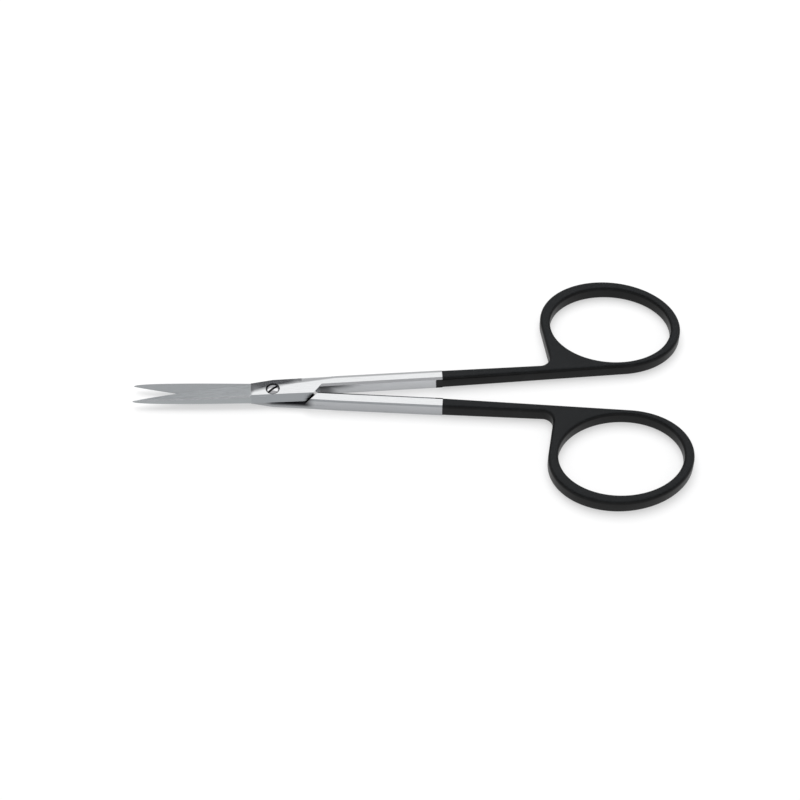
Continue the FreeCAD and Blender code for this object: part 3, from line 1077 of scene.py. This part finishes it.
@dataclass(frozen=True)
class TurnedSteel:
    """The pivot screw's steel: faced on a lathe, then polished, with painted shade in its slot."""

    bright: Tone = (0.88, 0.88, 0.89)
    # painted shade: the dark tone in the slot
    slot: Tone = (0.05, 0.05, 0.055)
    roughness: float = 0.14
    turning_pitch: float = 0.05
    turning_depth: float = 6.0e-7
    smudge_scale: float = 2.2
    smudge_roughness: float = 0.1
    slot_depth: Span = (3.0, 2.85)

    def make(self, name: str) -> bpy.types.Material:
        """Makes the screw's material.

        Args:
            name: the material's name.

        Returns:
            The material.
        """
        shader = Shader(bpy.data.materials.new(name))
        place = shader.millimetres()
        across, up, height = shader.parts(place)
        radius = (across * across + up * up) ** 0.5
        rings = (radius * (2 * math.pi / self.turning_pitch)).sine() * 0.5 + 0.5
        smudge = shader.noise(place, self.smudge_scale, 3.0)
        # painted shade: the head darkens from just below its top down into the slot
        tone = shader.blend(height.ramp(*self.slot_depth), self.bright, self.slot)
        return shader.surfaced({
            "Base Color": tone,
            "Metallic": 1.0,
            "Roughness": self.roughness + (smudge - 0.5) * self.smudge_roughness,
            "Normal": shader.bump(rings, self.turning_depth),
        })


@dataclass(frozen=True)
class WhitePaper:
    """The table: white paper that shows as the white background and keeps a soft shadow."""

    tone: Tone = (0.96, 0.96, 0.965)
    glow_share: float = 0.5

    def make(self, name: str) -> bpy.types.Material:
        """Makes the paper's material.

        Args:
            name: the material's name.

        Returns:
            The material.
        """
        shader = Shader(bpy.data.materials.new(name))
        seen = seen_directly(shader)
        lit = shader.add("ShaderNodeBsdfDiffuse", inputs={"Color": opaque(self.tone)})
        white = shader.add("ShaderNodeEmission", inputs={"Color": opaque((1.0, 1.0, 1.0)), "Strength": 1.0})
        mixed = shader.add(
            "ShaderNodeMixShader", inputs={0: seen * self.glow_share, 1: lit.outputs[0], 2: white.outputs[0]}
        )
        return shader.finish_with(mixed)


def seen_directly(shader: Shader) -> Signal:
    """Finds the rays that see the background, straight or by way of metal and glass.

    Args:
        shader: the nodes of the background.

    Returns:
        1 for those rays, 0 for the rest.
    """
    path = shader.add("ShaderNodeLightPath").outputs
    camera, glossy, through = (
        shader.signal(path[kind]) for kind in ("Is Camera Ray", "Is Glossy Ray", "Is Transmission Ray")
    )
    return camera.larger(glossy).larger(through)


@dataclass
class Half:
    """One half of the scissors: blade, joint plate and shank in one piece of steel."""

    side: Side
    form: SteelForm = SteelForm()
    screw: ScrewForm = ScrewForm()
    finish: GroundSteel = GroundSteel()

    def build(self) -> None:
        """Makes the half and gives it its steel."""
        axes = HalfAxes(self.side)
        piece = self.form.solid(f"{self.side.value}_steel", self.screw.bore(self.side))
        stand_in(piece, f"{self.side.value}_half", self.side.value, axes.placement())
        wear(piece, self.finish.make(f"{self.side.value}_steel", axes))


@dataclass
class HandleCoat:
    """The black coat on one ring handle."""

    side: Side
    form: HandleForm = HandleForm()
    finish: BlackCoat = BlackCoat()

    def build(self) -> None:
        """Makes the coat and gives it its black."""
        axes = HalfAxes(self.side)
        piece = self.form.coat(f"{self.side.value}_coat")
        stand_in(piece, f"{self.side.value}_handle_coat", self.side.value, axes.placement())
        wear(piece, self.finish.make(f"{self.side.value}_coat", axes))


@dataclass
class PivotScrew:
    """The slotted screw that the halves turn on."""

    form: ScrewForm = ScrewForm()
    finish: TurnedSteel = TurnedSteel()

    def build(self) -> None:
        """Makes the screw and gives it its turned steel."""
        piece = self.form.solid("slotted_screw")
        stand_in(piece, "pivot_screw", "lower", Matrix.Scale(MM, 4))
        wear(piece, self.finish.make("screw_steel"))


def stand_in(piece: bpy.types.Object, node: str, body: str, placement: Matrix) -> None:
    """Puts a finely made piece in the place of its plain node.

    Args:
        piece: the piece, in millimetres and its own axes.
        node: the node that it stands for.
        body: the body that it moves with.
        placement: the move from its own axes to the frame's.
    """
    piece.data.transform(placement)
    piece.data.materials.clear()
    piece.data.shade_smooth()
    piece.data.set_sharp_from_angle(angle=SHARP_ANGLE)
    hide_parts(node)
    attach(piece, body)


def wear(piece: bpy.types.Object, material: bpy.types.Material) -> None:
    """Puts a material on a piece that has none, and reports it."""
    piece.data.materials.append(material)
    log.info("%s wears %s", piece.name, material.name)


@dataclass
class Studio:
    """The table, the light over it, and a grey screen and canopy that give the steel's edges their dark lines."""

    table_half_width: float = 3.0
    ambient: float = 0.62
    lamp_size: float = 0.55
    lamp_power: float = 3.4
    lamp_place: Tone = (0.0, 0.28, 0.62)
    screen_distance: float = 0.9
    screen_half_width: float = 1.6
    screen_top: float = 0.77
    canopy_height: float = 0.8
    canopy_front: float = -0.62
    canopy_back: float = 0.30
    screen_tone: Tone = (0.64, 0.64, 0.65)
    canopy_tone: Tone = (0.52, 0.52, 0.53)
    paper: WhitePaper = WhitePaper()

    def build(self, centre: Vector) -> None:
        """Builds the studio.

        Args:
            centre: the middle of the object on the table.
        """
        half = self.table_half_width
        corners = [(-half, -half, 0.0), (half, -half, 0.0), (half, half, 0.0), (-half, half, 0.0)]
        table = self._sheet("table", corners, self.paper.make("white_paper"))
        table.location = (centre.x, centre.y, 0.0)
        self._light_world()
        self._hang_lamp(centre)
        self._stand_screen(centre)

    def _sheet(self, name: str, corners: Sequence[Tone], material: bpy.types.Material) -> bpy.types.Object:
        """Makes one flat sheet of the studio.

        Args:
            name: its name.
            corners: its corners, in order.
            material: what it is made of.

        Returns:
            The sheet, which isn't part of the object.
        """
        mesh = bpy.data.meshes.new(name)
        mesh.from_pydata(corners, [], [tuple(range(len(corners)))])
        mesh.materials.append(material)
        sheet = placed(name, mesh)
        sheet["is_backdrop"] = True
        return sheet

    def _light_world(self) -> None:
        """Makes the surroundings: white where they are seen, an even glow where they only light."""
        shader = Shader(bpy.data.worlds.new("white_room"))
        seen = seen_directly(shader)
        glow = shader.add("ShaderNodeBackground", inputs={"Color": opaque((1.0, 1.0, 1.0)), "Strength": self.ambient})
        white = shader.add("ShaderNodeBackground", inputs={"Color": opaque((1.0, 1.0, 1.0)), "Strength": 1.0})
        mixed = shader.add("ShaderNodeMixShader", inputs={0: seen, 1: glow.outputs[0], 2: white.outputs[0]})
        bpy.context.scene.world = shader.finish_with(mixed)

    def _hang_lamp(self, centre: Vector) -> None:
        """Hangs the soft lamp above and behind the object.

        Args:
            centre: the middle of the object on the table.
        """
        lamp = bpy.data.lights.new("soft_lamp", "AREA")
        lamp.shape = "SQUARE"
        lamp.size = self.lamp_size
        lamp.energy = self.lamp_power
        holder = placed("soft_lamp", lamp)
        holder.location = centre + Vector(self.lamp_place)
        holder.rotation_euler = (-Vector(self.lamp_place)).to_track_quat("-Z", "Y").to_euler()
        holder.visible_glossy = False

    def _stand_screen(self, centre: Vector) -> None:
        """Stands the screen behind the table and hangs the canopy, where only the metal's gloss sees them.

        Args:
            centre: the middle of the object on the table.
        """
        half, back, high = self.screen_half_width, self.screen_distance, self.canopy_height
        cards = {
            "screen": (self.screen_tone, (back, 0.0), (back, self.screen_top)),
            "canopy": (self.canopy_tone, (self.canopy_front, high), (self.canopy_back, high)),
        }
        for name, (tone, near, far) in cards.items():
            shader = Shader(bpy.data.materials.new(f"{name}_card"))
            material = shader.finish_with(shader.add("ShaderNodeBsdfDiffuse", inputs={"Color": opaque(tone)}))
            corners = [(-half, *near), (half, *near), (half, *far), (-half, *far)]
            sheet = self._sheet(name, corners, material)
            sheet.location = (centre.x, centre.y, 0.0)
            sheet.visible_camera = False
            sheet.visible_diffuse = False
            sheet.visible_shadow = False


@dataclass
class PhotoCamera:
    """The camera, where the photograph was taken from: in front of the scissors and high above them."""

    elevation: float = 52.0
    azimuth: float = 0.6063
    roll: float = -0.7111
    distance: float = 397.282
    aim_right: float = 26.1177
    aim_up: float = -0.3735
    lens: float = 86.4722
    sensor: float = 36.0
    clip: Span = (0.01, 20.0)

    def build(self) -> None:
        """Places the camera and makes it the scene's."""
        high, round_, roll = (math.radians(a) for a in (self.elevation, self.azimuth, self.roll))
        back = Vector((math.sin(round_) * math.cos(high), -math.cos(round_) * math.cos(high), math.sin(high)))
        level = Vector((math.cos(round_), math.sin(round_), 0.0))
        upright = back.cross(level)
        right = math.cos(roll) * level + math.sin(roll) * upright
        up = math.cos(roll) * upright - math.sin(roll) * level
        data = bpy.data.cameras.new("photo_camera")
        data.lens = self.lens
        data.sensor_width = self.sensor
        data.clip_start, data.clip_end = self.clip
        camera = placed("photo_camera", data)
        stand = (right * self.aim_right + up * self.aim_up + back * self.distance) * MM
        camera.matrix_world = Matrix.Translation(stand) @ Matrix((right, up, back)).transposed().to_4x4()
        bpy.context.scene.camera = camera


def set_colours() -> None:
    """Makes colours render as they are written."""
    bpy.context.scene.view_settings.view_transform = "Standard"


def main() -> None:
    """Dresses the scissors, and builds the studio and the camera."""
    logging.basicConfig(level=logging.INFO, format="%(name)s: %(message)s")
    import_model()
    built_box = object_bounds()
    set_colours()
    PhotoCamera().build()
    for side in Side:
        Half(side).build()
        HandleCoat(side).build()
    PivotScrew().build()
    low, high = built_box
    Studio().build(Vector(((low.x + high.x) / 2, (low.y + high.y) / 2, 0.0)))


if __name__ == "__main__":
    main()
